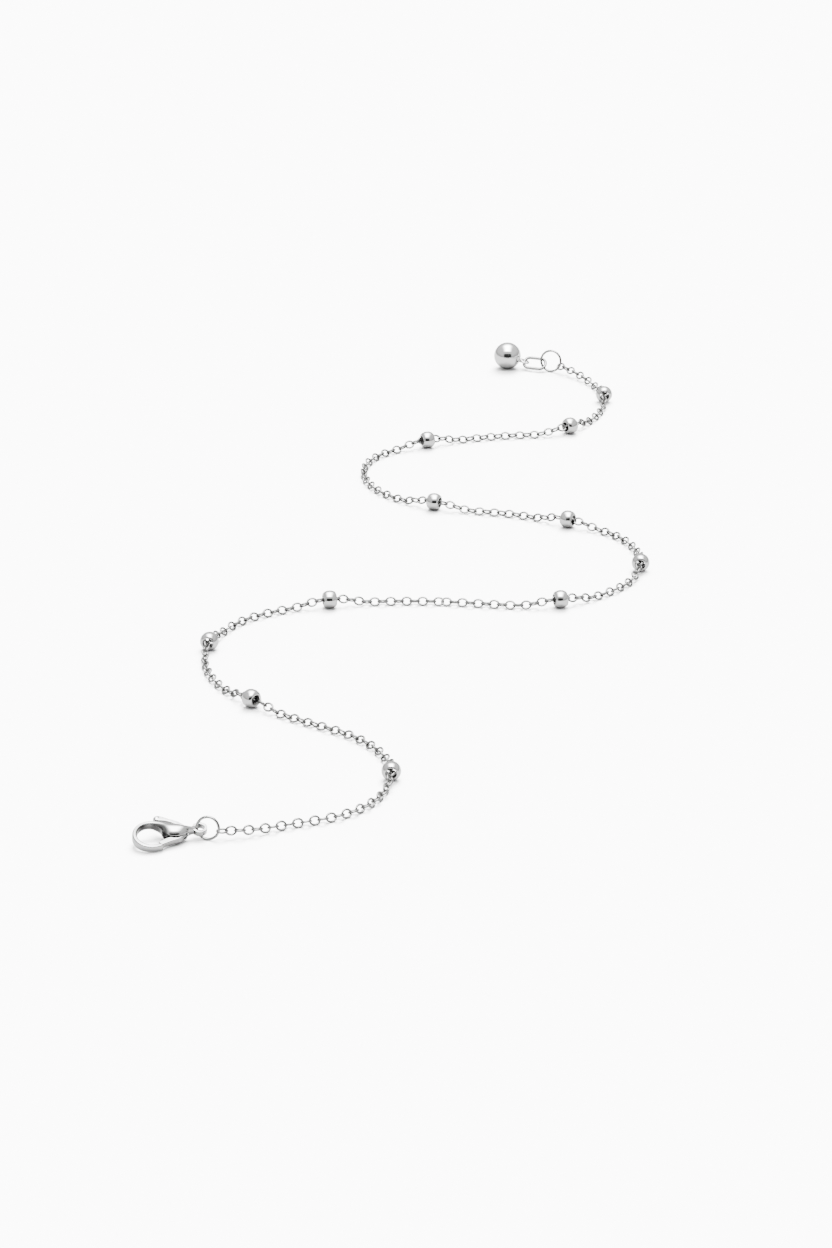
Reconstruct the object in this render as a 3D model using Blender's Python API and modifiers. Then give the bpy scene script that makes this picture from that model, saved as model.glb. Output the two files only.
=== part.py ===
"""Satellite chain bracelet, laid out in an S: a fine round-link chain drawn through eleven drilled beads,
with a lever clasp on a jump ring at one end and a ball drop on a jump ring at the other. Metres, +Z up,
the origin at the bottom centre of its box."""

import math

import bmesh
import bpy
import numpy as np
from mathutils import Matrix, Vector

MM = 0.001

# The chain: round links of one size, a little longer than wide, each turned a quarter round its neighbour.
LINK_LENGTH = 1.32 * MM
LINK_WIDTH = 1.18 * MM
LINK_WIRE = 0.17 * MM
LINK_POINTS = 16
LINK_ROLL = math.radians(45)
TUBE_SIDES = 8
TUBE_BEND = 0.05 * MM
TUBE_LONGEST = 6.0 * MM
CHAIN_GAP = 0.12 * MM

# The chain's way over the floor, from the clasp's ring to the end ring, in millimetres. Its two ends
# are given from the middle of the ring that each one hangs on.
ROUTE_FROM_CLASP_RING = [(1.68, 0.01), (4.78, 0.61), (8.68, 2.51)]
ROUTE = [
    (-8.6, -76.4), (-5.3, -73.8), (-2.4, -60.7), (-7.0, -52.8),
    (-11.5, -49.4), (-24.0, -36.9), (-26.0, -26.9), (-24.8, -21.7), (-22.6, -17.3), (-1.9, -9.5),
    (6.0, -9.8), (20.5, -10.2), (24.5, -8.0), (30.4, -0.6), (26.6, 15.7), (23.4, 17.6),
    (13.9, 22.2), (7.5, 23.7), (-4.5, 31.5), (-5.2, 43.5), (-2.9, 46.4), (1.3, 48.9),
    (15.0, 53.2), (22.8, 55.0), (25.9, 58.6), (28.7, 67.6),
]
ROUTE_FROM_END_RING = [(4.48, -4.35), (1.48, -0.85)]

# The beads, and how far along the chain each one sits, in millimetres.
BEAD_DIAMETER = 2.4 * MM
BEAD_LENGTH = 1.75 * MM
BEAD_BORE = 1.36 * MM
BEAD_END_FACE = 0.12 * MM
BEAD_SIDES = 16
BEAD_STATIONS = (28.3, 57.7, 77.9, 100.1, 130.7, 148.6, 168.6, 188.2, 221.3, 242.9, 257.7)
BEAD_DROP = 4.6 * MM
CHAIN_PARTS_AT = 0.5

# The jump rings, which stand leaning back from the front.
CLASP_RING_OUTER = 3.0 * MM
END_RING_OUTER = 3.4 * MM
RING_WIRE = 0.30 * MM
RING_LEAN = math.radians(78)
RING_SEGMENTS = 28
RING_SIDES = 8
CLASP_RING_AT = (-23.48 * MM, -81.46 * MM)
CLASP_RING_TURN = math.radians(-12)
END_RING_AT = (21.22 * MM, 81.95 * MM)
END_RING_TURN = math.radians(-20)
RING_LINK_HEIGHT = 1.08 * MM
RING_DROP = 9.0 * MM

# The clasp, in its own frame: +U from hook to eye, +V to the tab's side, +W up through its thickness.
CLASP_AT = (CLASP_RING_AT[0] - 4.42 * MM, CLASP_RING_AT[1] - 1.15 * MM)
CLASP_TURN = math.radians(18)
CLASP_ROLL = math.radians(16)
SECTION_POINTS = 20
STEPS_PER_ROW = 3
# Each row is one section of the clasp's band, from the hook's tip round to the eye. In millimetres: u, v,
# width, height. Then how square its corners are: 2 is an ellipse, and more is nearer an oblong.
HOOK_SECTIONS = [
    (-1.00, -1.66, 0.52, 0.86, 3.2),
    (-2.30, -1.88, 0.54, 0.92, 3.2),
    (-3.45, -1.50, 0.58, 1.00, 3.2),
    (-4.10, -0.60, 0.60, 1.05, 3.2),
    (-4.16, 0.45, 0.60, 1.05, 3.2),
    (-3.70, 1.50, 0.56, 1.04, 3.2),
    (-2.80, 2.16, 0.54, 1.04, 3.0),
    (-1.80, 2.24, 0.58, 1.10, 2.8),
    (-1.10, 1.92, 0.80, 1.30, 2.5),
    (-0.36, 1.28, 1.30, 1.70, 2.2),
    (0.52, 0.46, 2.15, 2.20, 2.0),
    (1.28, 0.28, 1.90, 2.16, 2.0),
    (2.02, 0.31, 1.20, 1.66, 2.2),
    (2.64, 0.35, 0.74, 1.10, 2.6),
    (3.10, 0.36, 0.66, 0.86, 2.8),
]
EYE_AT = (3.72 * MM, 0.36 * MM)
EYE_OUTER = 1.80 * MM
EYE_HOLE = 1.14 * MM
EYE_HEIGHT = 0.72 * MM
EYE_EDGE = 0.12 * MM

# The lever: its pivot, its plate and its travel.
PIVOT_AT = (1.80 * MM, 0.35 * MM)
PIN_DIAMETER = 0.50 * MM
PIN_SEAT = 0.22 * MM
PIN_CLEARANCE = 0.05 * MM
LEVER_HEIGHT = 0.74 * MM
LEVER_EDGE = 0.10 * MM
LEVER_CLEARANCE = 0.10 * MM
LEVER_TRAVEL = math.radians(22)
GATE_REACH = 3.78 * MM
GATE_CLEARANCE = 0.10 * MM
GATE_WAY_HEIGHT = 1.4 * MM
BOSS_RADIUS = 0.56 * MM
# The lever's outline round its pivot, as u and v from the pivot in millimetres.
LEVER_OUTLINE = [
    (-3.60, -1.55), (-1.80, -0.94), (-0.62, -0.34), (-0.52, 0.10), (-0.46, 0.62), (-0.95, 1.38),
    (-1.90, 2.02), (-2.60, 2.24), (-2.94, 2.48), (-3.00, 2.80), (-2.74, 3.04), (-2.36, 2.96),
    (-1.45, 2.30), (-0.40, 1.52), (0.26, 0.80), (0.52, 0.00), (0.30, -0.80), (-0.30, -1.22),
    (-1.70, -1.62), (-3.60, -2.22),
]
# The slot's open sectors, as angles round the pivot: the gate's side and the tab's side.
GATE_SECTOR = (math.radians(184), math.radians(298))
TAB_SECTOR = (math.radians(32), math.radians(127))
SLOT_REACH = 2.6 * MM

# The ball drop at the far end.
BALL_DIAMETER = 4.0 * MM
BALL_AT = (END_RING_AT[0] - 6.49 * MM, END_RING_AT[1] + 1.45 * MM)
BALL_SEGMENTS = 20
BALL_TURN = math.radians(-5)
BALL_TILT = math.radians(18)
PEG_DIAMETER = 0.7 * MM
PEG_LENGTH = 0.15 * MM
BALL_EYE_OUTER = 1.45 * MM
BALL_EYE_WIRE = 0.28 * MM
DROP_LENGTH = 3.78 * MM
DROP_WIDTH = 2.2 * MM
DROP_WIRE = 0.38 * MM
DROP_LEAN = math.radians(41.3)
DROP_TURN = math.radians(-19.3)
DROP_AT = (END_RING_AT[0] - 2.40 * MM, END_RING_AT[1] + 0.61 * MM, 1.07 * MM)

STEEL = (0.80, 0.80, 0.79)


def clear_scene():
    """Remove every object that the scene starts with."""
    for obj in list(bpy.data.objects):
        bpy.data.objects.remove(obj, do_unlink=True)


def new_collection(name):
    """Make a collection in the scene."""
    made = bpy.data.collections.new(name)
    bpy.context.scene.collection.children.link(made)
    return made


def polished_steel(name, roughness):
    """One sub-part's own material, a polished steel."""
    made = bpy.data.materials.new(name)
    made.use_nodes = True
    shader = made.node_tree.nodes["Principled BSDF"]
    shader.inputs["Base Color"].default_value = (*STEEL, 1)
    shader.inputs["Metallic"].default_value = 1.0
    shader.inputs["Roughness"].default_value = roughness
    made.diffuse_color = (*STEEL, 1)
    return made


def object_of(name, mesh, collection):
    """Link a mesh into a collection as one named object."""
    made = bpy.data.objects.new(name, mesh)
    collection.objects.link(made)
    return made


def mesh_from(name, shape):
    """Close a bmesh into a mesh with its faces pointing out."""
    bmesh.ops.remove_doubles(shape, verts=shape.verts, dist=0.0005 * MM)
    bmesh.ops.recalc_face_normals(shape, faces=shape.faces)
    mesh = bpy.data.meshes.new(name)
    shape.to_mesh(mesh)
    shape.free()
    return mesh


def meshed(obj, collection):
    """A curve object made a mesh object of the same name and place, with its caps welded."""
    graph = bpy.context.evaluated_depsgraph_get()
    mesh = bpy.data.meshes.new_from_object(obj.evaluated_get(graph))
    shape = bmesh.new()
    shape.from_mesh(mesh)
    name, place = obj.name, obj.matrix_world.copy()
    bpy.data.objects.remove(obj, do_unlink=True)
    made = object_of(name, mesh_from(name, shape), collection)
    made.name = name
    made.matrix_world = place
    return made


def helper(obj):
    """Mark an object as a cutter or guide, which is no part of the bracelet."""
    obj.hide_render = True
    obj.display_type = "WIRE"
    return obj


def boolean(obj, operation, other):
    """Add an exact Boolean with a helper object."""
    modifier = obj.modifiers.new(f"{operation.title()} {other.name}", "BOOLEAN")
    modifier.operation = operation
    modifier.solver = "EXACT"
    modifier.object = other
    return modifier


def finish(obj, material, sharp=math.radians(40)):
    """Give an object its material, and smooth shading with its sharp edges kept."""
    obj.data.materials.clear()
    obj.data.materials.append(material)
    obj.data.shade_smooth()
    obj.data.set_sharp_from_angle(angle=sharp)


def natural_spline(points, count):
    """Evenly spaced points on the smooth curve through a list of points, of any dimension."""
    points = np.asarray(points, float)
    along = np.concatenate([[0], np.cumsum(np.linalg.norm(np.diff(points, axis=0), axis=1))])
    gaps = np.diff(along)
    last = len(points) - 1
    system = np.eye(last + 1)
    known = np.zeros_like(points)
    for i in range(1, last):
        system[i, i - 1 : i + 2] = gaps[i - 1], 2 * (gaps[i - 1] + gaps[i]), gaps[i]
        rise, before = (points[i + 1] - points[i]) / gaps[i], (points[i] - points[i - 1]) / gaps[i - 1]
        known[i] = 6 * (rise - before)
    bends = np.linalg.solve(system, known)
    at = np.linspace(0, along[-1], count)
    i = np.clip(np.searchsorted(along, at) - 1, 0, last - 1)
    gap = gaps[i][:, None]
    ahead = along[i + 1][:, None] - at[:, None]
    behind = at[:, None] - along[i][:, None]
    curved = (bends[i] * ahead**3 + bends[i + 1] * behind**3) / (6 * gap)
    straight = (points[i] / gap - bends[i] * gap / 6) * ahead
    straight += (points[i + 1] / gap - bends[i + 1] * gap / 6) * behind
    return curved + straight


class ChainLine:
    """The chain's middle line: the route over the floor, lifted where beads and rings hold it."""

    def __init__(self):
        start = np.array(ROUTE_FROM_CLASP_RING) * MM + np.array(CLASP_RING_AT)
        end = np.array(ROUTE_FROM_END_RING) * MM + np.array(END_RING_AT)
        self.plan = natural_spline(np.vstack([start, np.array(ROUTE) * MM, end]), 4000)
        steps = np.linalg.norm(np.diff(self.plan, axis=0), axis=1)
        self.along = np.concatenate([[0], np.cumsum(steps)])
        self.length = self.along[-1]
        self.lying = ((LINK_LENGTH - LINK_WIRE) * math.sin(LINK_ROLL) + LINK_WIRE) / 2

    def lift(self, station):
        """How high the chain's middle is at a distance along it."""
        held = [(s * MM, BEAD_DIAMETER / 2, BEAD_LENGTH / 2, BEAD_DROP) for s in BEAD_STATIONS]
        held += [(end, RING_LINK_HEIGHT, 0, RING_DROP) for end in (0, self.length)]
        high = self.lying
        for centre, height, reach, drop in held:
            fall = min(max((abs(station - centre) - reach) / drop, 0), 1)
            share = 1 - fall * fall * (3 - 2 * fall)
            high = max(high, self.lying + (height - self.lying) * share)
        return high

    def point(self, station):
        """The point of the chain's middle line at a distance along it."""
        x, y = (np.interp(station, self.along, self.plan[:, i]) for i in (0, 1))
        return Vector((x, y, self.lift(station)))

    def direction(self, station, step=0.2 * MM):
        """The way that the chain runs there, as a unit vector."""
        low, high = max(station - step, 0), min(station + step, self.length)
        return (self.point(high) - self.point(low)).normalized()

    def stations(self, start, end):
        """Distances along the chain whose straight stretches stay close to its curve."""
        found = [start]
        step = 0.4 * MM
        while found[-1] < end:
            reach = step
            while found[-1] + reach < end and reach < TUBE_LONGEST:
                a, b = self.point(found[-1]), self.point(found[-1] + reach + step)
                middle = self.point(found[-1] + (reach + step) / 2)
                if (middle - (a + b) / 2).length > TUBE_BEND:
                    break
                reach += step
            found.append(min(found[-1] + reach, end))
        if found[-1] - found[-2] < step:
            del found[-2]
        return found


def frame_along(direction, roll):
    """A turn whose X runs along a direction, rolled about it from the upright."""
    side = Vector((0, 0, 1)).cross(direction).normalized()
    up = direction.cross(side)
    turn = Matrix((direction, side, up)).transposed()
    return turn.to_4x4() @ Matrix.Rotation(roll, 4, "X")


def wire_ring(name, outer, wire, segments, sides, collection):
    """A round ring of wire in the XY plane."""
    bpy.ops.mesh.primitive_torus_add(
        major_radius=(outer - wire) / 2,
        minor_radius=wire / 2,
        major_segments=segments,
        minor_segments=sides,
    )
    made = bpy.context.object
    made.name = name
    for holder in list(made.users_collection):
        holder.objects.unlink(made)
    collection.objects.link(made)
    return made


def tube(name, points, radius, collection, cyclic=False):
    """A round tube along a list of points, with filled caps."""
    curve = bpy.data.curves.new(name, "CURVE")
    curve.dimensions = "3D"
    curve.bevel_depth = radius
    curve.bevel_resolution = int(TUBE_SIDES) // 2 - 2
    curve.use_fill_caps = not cyclic
    spline = curve.splines.new("POLY")
    spline.points.add(len(points) - 1)
    for slot, point in zip(spline.points, points):
        slot.co = (*point, 1)
    spline.use_cyclic_u = cyclic
    return object_of(name, curve, collection)


def plate(name, outline, height, collection):
    """A flat outline made a plate that lies half above and half below z = 0."""
    curve = bpy.data.curves.new(name, "CURVE")
    curve.dimensions = "2D"
    curve.fill_mode = "BOTH"
    curve.extrude = height / 2
    spline = curve.splines.new("POLY")
    spline.points.add(len(outline) - 1)
    for slot, (x, y) in zip(spline.points, outline):
        slot.co = (x, y, 0, 1)
    spline.use_cyclic_u = True
    return meshed(object_of(name, curve, collection), collection)


def cylinder(name, radius, height, segments, collection):
    """A capped cylinder on the Z axis, half above and half below z = 0."""
    shape = bmesh.new()
    bmesh.ops.create_cone(
        shape, cap_ends=True, segments=segments, radius1=radius, radius2=radius, depth=height
    )
    return object_of(name, mesh_from(name, shape), collection)


def chain_tubes(line, collection, material):
    """The chain as two tubes of the links' width, end to end, from the first link to the last."""
    clear = LINK_LENGTH / 2 + CHAIN_GAP
    parting = line.length * CHAIN_PARTS_AT
    near = line.stations(clear, parting - CHAIN_GAP / 2)
    far = line.stations(parting + CHAIN_GAP / 2, line.length - clear)
    for name, stations in (("chain_near", near), ("chain_far", far)):
        made = tube(name, [line.point(s) for s in stations], line.lying, collection)
        made.data.materials.append(material)


def end_links(line, collection, material):
    """The chain's first and last link, each through its jump ring."""
    for name, station in (("first_link", 0), ("last_link", line.length)):
        long, wide = (LINK_LENGTH - LINK_WIRE) / 2, (LINK_WIDTH - LINK_WIRE) / 2
        angles = [math.tau * i / LINK_POINTS for i in range(LINK_POINTS)]
        points = [(long * math.cos(a), wide * math.sin(a), 0) for a in angles]
        made = tube(name, points, LINK_WIRE / 2, collection, cyclic=True)
        place = Matrix.Translation(line.point(station))
        made.matrix_world = place @ frame_along(line.direction(station), 0)
        made.data.materials.append(material)


def bead_profile():
    """The bead's turned outline, from its top end round its outer side and back up the bore."""
    bore, crown = BEAD_BORE / 2, BEAD_DIAMETER / 2
    half = BEAD_LENGTH / 2
    edge = bore + BEAD_END_FACE
    steps = 8
    rounded = [math.pi * i / steps for i in range(steps + 1)]
    outer = [(edge + (crown - edge) * math.sin(a), half * math.cos(a)) for a in rounded]
    return outer + [(bore, -half), (bore, half)]


def bead_mesh():
    """A drilled bead about the X axis, turned from its profile."""
    shape = bmesh.new()
    points = [shape.verts.new((r, 0, z)) for r, z in bead_profile()]
    for a, b in zip(points, points[1:] + points[:1]):
        shape.edges.new((a, b))
    bmesh.ops.spin(
        shape,
        geom=shape.verts[:] + shape.edges[:],
        axis=(0, 0, 1),
        cent=(0, 0, 0),
        angle=math.tau,
        steps=BEAD_SIDES,
    )
    bmesh.ops.rotate(shape, verts=shape.verts, matrix=Matrix.Rotation(math.pi / 2, 3, "Y"))
    return mesh_from("bead", shape)


def beads(line, collection, material):
    """The drilled beads, each square to the chain that passes through it."""
    mesh = bead_mesh()
    for number, station in enumerate(BEAD_STATIONS, 1):
        made = object_of(f"bead_{number:02d}", mesh, collection)
        flat = line.direction(station * MM)
        flat.z = 0
        place = Matrix.Translation(line.point(station * MM))
        made.matrix_world = place @ frame_along(flat.normalized(), 0)
        finish(made, material)


def leaning_ring(name, at, outer, yaw, collection, material):
    """A jump ring that stands on the floor and leans back."""
    made = wire_ring(name, outer, RING_WIRE, RING_SEGMENTS, RING_SIDES, collection)
    middle = (outer - RING_WIRE) / 2
    height = middle * math.sin(RING_LEAN) + RING_WIRE / 2
    turn = Matrix.Rotation(yaw, 4, "Z") @ Matrix.Rotation(RING_LEAN, 4, "X")
    made.matrix_world = Matrix.Translation((*at, height)) @ turn
    finish(made, material, math.pi)


def clasp_frame(band):
    """The clasp's own frame in the bracelet's, with the band resting on the floor."""
    turn = Matrix.Rotation(CLASP_TURN, 4, "Z") @ Matrix.Rotation(CLASP_ROLL, 4, "X")
    lowest = min((turn @ vert.co).z for vert in band.data.vertices)
    return Matrix.Translation((*CLASP_AT, -lowest)) @ turn


def section(width, height, squareness):
    """A rounded oblong's points, as offsets across and up."""
    power = 2 / squareness
    points = []
    for i in range(SECTION_POINTS):
        a = math.tau * i / SECTION_POINTS
        across = math.copysign(abs(math.cos(a)) ** power, math.cos(a))
        up = math.copysign(abs(math.sin(a)) ** power, math.sin(a))
        points.append((across * width / 2, up * height / 2))
    return points


def hook_band(collection):
    """The hook, housing and neck as one loft through the rows of HOOK_SECTIONS."""
    rows = natural_spline(HOOK_SECTIONS, (len(HOOK_SECTIONS) - 1) * STEPS_PER_ROW + 1)
    shape = bmesh.new()
    loops = []
    for i, (u, v, width, height, squareness) in enumerate(rows):
        before, after = rows[max(i - 1, 0)], rows[min(i + 1, len(rows) - 1)]
        run = Vector((after[0] - before[0], after[1] - before[1])).normalized()
        loop = []
        for across, up in section(width, height, squareness):
            point = Vector((u - run.y * across, v + run.x * across, up))
            loop.append(shape.verts.new(point * MM))
        loops.append(loop)
    for one, two in zip(loops, loops[1:]):
        for i in range(SECTION_POINTS):
            j = (i + 1) % SECTION_POINTS
            shape.faces.new((one[i], one[j], two[j], two[i]))
    shape.faces.new(loops[0])
    shape.faces.new(loops[-1])
    return object_of("clasp_body", mesh_from("clasp_body", shape), collection)


def eye_blank(collection):
    """The eye's solid disc with rounded rims, at the neck's end."""
    made = cylinder("eye_blank", EYE_OUTER / 2, EYE_HEIGHT, 24, collection)
    made.location = (*EYE_AT, 0)
    bevel = made.modifiers.new("Rims", "BEVEL")
    bevel.width = EYE_EDGE
    bevel.segments = 2
    bevel.angle_limit = math.radians(40)
    return made


def slot_outline():
    """The lever's slot round the pivot: a bore for the boss and two open sectors."""
    near = BOSS_RADIUS + LEVER_CLEARANCE
    outline = []
    for start, end in (TAB_SECTOR, GATE_SECTOR):
        steps = 6
        outline.append((near * math.cos(start), near * math.sin(start)))
        for i in range(steps + 1):
            a = start + (end - start) * i / steps
            outline.append((SLOT_REACH * math.cos(a), SLOT_REACH * math.sin(a)))
        outline.append((near * math.cos(end), near * math.sin(end)))
        rest = GATE_SECTOR[0] if start == TAB_SECTOR[0] else TAB_SECTOR[0] + math.tau
        for i in range(1, 5):
            a = end + (rest - end) * i / 5
            outline.append((near * math.cos(a), near * math.sin(a)))
    return outline


def clasp_cutters(frame, collection):
    """What is cut from the clasp: the eye's hole, the lever's slot, the gate's way and the pin's seats."""
    hole = cylinder("cut_eye_hole", EYE_HOLE / 2, 2 * EYE_HEIGHT, 20, collection)
    hole.location = (*EYE_AT, 0)
    slot = plate("cut_slot", slot_outline(), LEVER_HEIGHT + 2 * LEVER_CLEARANCE, collection)
    slot.location = (*PIVOT_AT, 0)
    seat_radius = PIN_DIAMETER / 2 + PIN_CLEARANCE
    seat_height = LEVER_HEIGHT + 2 * (LEVER_CLEARANCE + PIN_SEAT)
    seats = cylinder("cut_pin_seats", seat_radius, seat_height, 16, collection)
    seats.location = (*PIVOT_AT, 0)
    gate_way = plate("cut_gate_way", gate_way_outline(), GATE_WAY_HEIGHT, collection)
    gate_way.location = (*PIVOT_AT, 0)
    cutters = [hole, slot, seats, gate_way]
    for cutter in cutters:
        helper(cutter)
        cutter.matrix_world = frame @ cutter.matrix_basis
    return cutters


def gate_way_outline():
    """The sector that the gate sweeps beyond the dome, which ends the hook at its tip."""
    reach = GATE_REACH + GATE_CLEARANCE
    start, end = math.radians(198), math.radians(235)
    steps = 12
    arc = [start + (end - start) * i / steps for i in range(steps + 1)]
    outer = [(reach * math.cos(a), reach * math.sin(a)) for a in arc]
    return outer + [(0.62 * reach * math.cos(a), 0.62 * reach * math.sin(a)) for a in reversed(arc)]


def clasp_body(body, frame, cutters_collection, material):
    """The hook, housing, neck and eye in one piece, with the lever's slot cut through."""
    body.matrix_world = frame
    blank = helper(eye_blank(cutters_collection))
    blank.matrix_world = frame @ blank.matrix_basis
    boolean(body, "UNION", blank)
    for cutter in clasp_cutters(frame, cutters_collection):
        boolean(body, "DIFFERENCE", cutter)
    finish(body, material)


def lever_outline():
    """The lever's outline with its gate ended on the arc that clears the hook's tip."""
    smooth = natural_spline(np.array(LEVER_OUTLINE) * MM, 3 * len(LEVER_OUTLINE))
    start = math.atan2(smooth[-1][1], smooth[-1][0])
    end = math.atan2(smooth[0][1], smooth[0][0])
    arc = [start + (end - start) * i / 4 for i in range(1, 4)]
    tip = [(GATE_REACH * math.cos(a), GATE_REACH * math.sin(a)) for a in arc]
    limited = []
    for x, y in smooth:
        share = min(1, GATE_REACH / math.hypot(x, y))
        limited.append((x * share, y * share))
    return limited + tip


def clasp_lever(frame, collection, cutters_collection, material):
    """The gate and thumb tab, one plate that turns on the pin."""
    at_pivot = frame @ Matrix.Translation((*PIVOT_AT, 0))
    lever = plate("clasp_lever", lever_outline(), LEVER_HEIGHT, collection)
    lever.matrix_world = at_pivot
    bore = cylinder("cut_lever_bore", PIN_DIAMETER / 2 + PIN_CLEARANCE, 2 * LEVER_HEIGHT, 16, cutters_collection)
    helper(bore)
    bore.matrix_world = at_pivot
    bevel = lever.modifiers.new("Edges", "BEVEL")
    bevel.width = LEVER_EDGE
    bevel.segments = 2
    bevel.angle_limit = math.radians(50)
    boolean(lever, "DIFFERENCE", bore)
    finish(lever, material)


def clasp_pin(frame, collection, material):
    """The lever's pin, hidden in its seats in the housing."""
    length = LEVER_HEIGHT + 2 * (LEVER_CLEARANCE + PIN_SEAT - PIN_CLEARANCE)
    pin = cylinder("clasp_pin", PIN_DIAMETER / 2, length, 16, collection)
    pin.matrix_world = frame @ Matrix.Translation((*PIVOT_AT, 0))
    finish(pin, material)


def stadium(length, width, steps=8):
    """An oval's middle line in the XY plane, long in X, as points."""
    radius = width / 2
    shift = length / 2 - radius
    points = []
    for side in (1, -1):
        for i in range(steps + 1):
            a = math.pi * (i / steps - 0.5) + (0 if side > 0 else math.pi)
            points.append((side * shift + radius * math.cos(a), radius * math.sin(a), 0))
    return points


def drop_link(collection, material):
    """The oval link between the ball's eye and the end ring, leaning on the floor."""
    points = stadium(DROP_LENGTH - DROP_WIRE, DROP_WIDTH - DROP_WIRE)
    made = tube("drop_link", points, DROP_WIRE / 2, collection, cyclic=True)
    turn = Matrix.Rotation(DROP_TURN, 4, "Z") @ Matrix.Rotation(DROP_LEAN, 4, "X")
    made.matrix_world = Matrix.Translation(DROP_AT) @ turn
    made.data.materials.append(material)


def end_ball(collection, cutters_collection, material):
    """The ball with its peg and the small eye that the drop link passes through."""
    shape = bmesh.new()
    bmesh.ops.create_uvsphere(
        shape, u_segments=BALL_SEGMENTS, v_segments=BALL_SEGMENTS // 2, radius=BALL_DIAMETER / 2
    )
    ball = object_of("end_ball", mesh_from("end_ball", shape), collection)
    turn = Matrix.Rotation(BALL_TURN, 4, "Z") @ Matrix.Rotation(BALL_TILT, 4, "Y")
    frame = Matrix.Translation((*BALL_AT, BALL_DIAMETER / 2)) @ turn
    ball.matrix_world = frame
    reach = BALL_DIAMETER / 2 + PEG_LENGTH
    peg = helper(cylinder("peg_blank", PEG_DIAMETER / 2, 2 * PEG_LENGTH + PEG_DIAMETER, 12, cutters_collection))
    peg.matrix_world = frame @ Matrix.Translation((reach - PEG_DIAMETER / 2, 0, 0)) @ Matrix.Rotation(math.pi / 2, 4, "Y")
    eye = helper(wire_ring("ball_eye_blank", BALL_EYE_OUTER, BALL_EYE_WIRE, 16, 8, cutters_collection))
    eye.matrix_world = frame @ Matrix.Translation((reach + BALL_EYE_OUTER / 2 - BALL_EYE_WIRE / 2, 0, 0))
    boolean(ball, "UNION", peg)
    boolean(ball, "UNION", eye)
    finish(ball, material)


def main():
    """Build every piece of the bracelet where it lies."""
    clear_scene()
    bracelet = new_collection("satellite_chain_bracelet")
    cutters = new_collection("cutters")
    cutters.hide_render = True
    chain_steel = polished_steel("chain_steel", 0.16)
    bead_steel = polished_steel("bead_steel", 0.06)
    clasp_steel = polished_steel("clasp_steel", 0.10)
    lever_steel = polished_steel("lever_steel", 0.12)
    pin_steel = polished_steel("pin_steel", 0.25)
    ring_steel = polished_steel("ring_steel", 0.12)
    drop_steel = polished_steel("drop_steel", 0.12)
    ball_steel = polished_steel("ball_steel", 0.06)
    line = ChainLine()
    chain_tubes(line, bracelet, chain_steel)
    end_links(line, bracelet, chain_steel)
    beads(line, bracelet, bead_steel)
    leaning_ring(
        "clasp_ring", CLASP_RING_AT, CLASP_RING_OUTER, CLASP_RING_TURN, bracelet, ring_steel
    )
    leaning_ring("end_ring", END_RING_AT, END_RING_OUTER, END_RING_TURN, bracelet, ring_steel)
    band = hook_band(bracelet)
    frame = clasp_frame(band)
    clasp_body(band, frame, cutters, clasp_steel)
    clasp_lever(frame, bracelet, cutters, lever_steel)
    clasp_pin(frame, bracelet, pin_steel)
    drop_link(bracelet, drop_steel)
    end_ball(bracelet, cutters, ball_steel)


main()
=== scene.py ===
"""The bracelet's looks: link chain, drilled beads, lever clasp, rings and ball drop in polished steel.

Lengths are in millimetres and angles in degrees, unless a comment says otherwise.
"""

import logging
import math
from collections.abc import Iterable, Sequence
from dataclasses import dataclass, field, replace
from enum import Enum

import bmesh
import bpy
import numpy as np
from mathutils import Matrix, Vector


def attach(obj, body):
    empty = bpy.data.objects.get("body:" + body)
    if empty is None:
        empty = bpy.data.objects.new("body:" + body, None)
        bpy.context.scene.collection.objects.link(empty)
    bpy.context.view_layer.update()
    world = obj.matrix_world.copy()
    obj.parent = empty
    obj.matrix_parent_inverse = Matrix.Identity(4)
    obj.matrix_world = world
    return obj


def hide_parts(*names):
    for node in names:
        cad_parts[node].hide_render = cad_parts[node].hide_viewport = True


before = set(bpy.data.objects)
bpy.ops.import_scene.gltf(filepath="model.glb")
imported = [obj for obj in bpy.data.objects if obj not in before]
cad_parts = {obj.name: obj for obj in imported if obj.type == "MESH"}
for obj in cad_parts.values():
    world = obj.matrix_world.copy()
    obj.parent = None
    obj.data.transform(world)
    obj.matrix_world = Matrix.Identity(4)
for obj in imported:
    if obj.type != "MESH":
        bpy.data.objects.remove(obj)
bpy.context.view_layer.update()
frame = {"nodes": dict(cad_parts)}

LOG = logging.getLogger("bracelet")
MM = 0.001

# Points of a mesh nearer than this share of a length are welded.
WELD = 1e-4

# The chain's way over the floor, from the clasp's ring to the end ring.
ROUTE = (
    (-21.8, -81.45), (-18.7, -80.85), (-14.8, -78.95), (-8.6, -76.4), (-5.3, -73.8), (-2.4, -60.7),
    (-7.0, -52.8), (-11.5, -49.4), (-24.0, -36.9), (-26.0, -26.9), (-24.8, -21.7), (-22.6, -17.3),
    (-1.9, -9.5),
    (6.0, -9.8), (20.5, -10.2), (24.5, -8.0), (30.4, -0.6), (26.6, 15.7), (23.4, 17.6),
    (13.9, 22.2), (7.5, 23.7), (-4.5, 31.5), (-5.2, 43.5), (-2.9, 46.4), (1.3, 48.9),
    (15.0, 53.2), (22.8, 55.0), (25.9, 58.6), (28.7, 67.6), (25.7, 77.6), (22.7, 81.1),
)

# The beads' places, as distances along the chain.
BEAD_STATIONS = (28.3, 57.7, 77.9, 100.1, 130.7, 148.6, 168.6, 188.2, 221.3, 242.9, 257.7)

# Distances along the chain and how far its links are rolled about it there. The roll jumps a quarter
# turn at the one place where two neighbouring links lie alike.
LINK_ROLLS = (
    (0.0, -2.0), (3.0, -18.0), (8.0, -25.0), (20.0, -25.0), (45.0, -40.0), (92.0, -42.0),
    (102.0, -35.0), (114.7, -35.0), (114.8, 55.0), (131.0, 55.0), (150.0, 46.0), (272.0, 46.0),
)

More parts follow.
